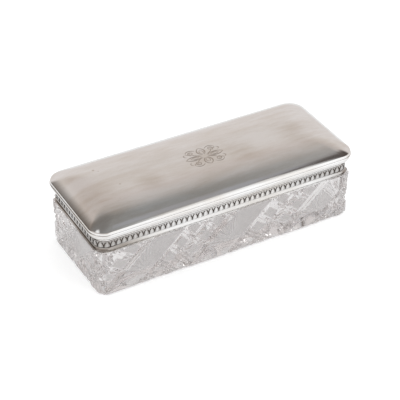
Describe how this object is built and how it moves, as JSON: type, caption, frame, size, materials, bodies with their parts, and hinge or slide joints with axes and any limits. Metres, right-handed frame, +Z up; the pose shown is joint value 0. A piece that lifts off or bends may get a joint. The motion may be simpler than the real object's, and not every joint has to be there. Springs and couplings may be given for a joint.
{
  "type": "casket box",
  "caption": "Long rectangular cut-glass box with slanting cut bands, a silver collar with a leaf frieze, and a domed silver lid hinged along the back.",
  "frame": {"origin": "centre of the base, on the surface that the box stands on", "axes": "+X along the length, -Y towards the front, +Z up; the hinge is at the back, +Y"},
  "size_m": [0.254, 0.103, 0.0745],
  "materials": {
    "glass": "clear, cut and polished",
    "plaster": "matte, hidden",
    "silver": "polished, lightly worn",
    "silver_frieze": "stamped, darkened in the recesses"
  },
  "bodies": {
    "base": {"glass_body": "glass", "plaster_bed": "plaster", "collar_foot": "silver", "collar_sleeve": "silver", "collar_seat_rim": "silver", "collar_bezel": "silver", "collar_hinge_leaf": "silver", "collar_knuckle_1": "silver", "collar_knuckle_2": "silver", "collar_knuckle_3": "silver", "collar_knuckle_4": "silver", "hinge_pin": "silver", "frieze_front": "silver_frieze", "frieze_left": "silver_frieze", "frieze_right": "silver_frieze", "frieze_back_left": "silver_frieze", "frieze_back_right": "silver_frieze", "frieze_corners": "silver_frieze"},
    "lid": {"lid_dome": "silver", "lid_rim_wire": "silver", "lid_moulding": "silver", "lid_hinge_leaf": "silver", "lid_knuckle_1": "silver", "lid_knuckle_2": "silver", "lid_knuckle_3": "silver"}
  },
  "joints": [
    {"name": "lid_hinge", "type": "hinge", "parent": "base", "child": "lid", "pos_m": [0, 0.0493, 0.0563], "axis": [-1, 0, 0], "range_deg": [0, 105]}
  ]
}
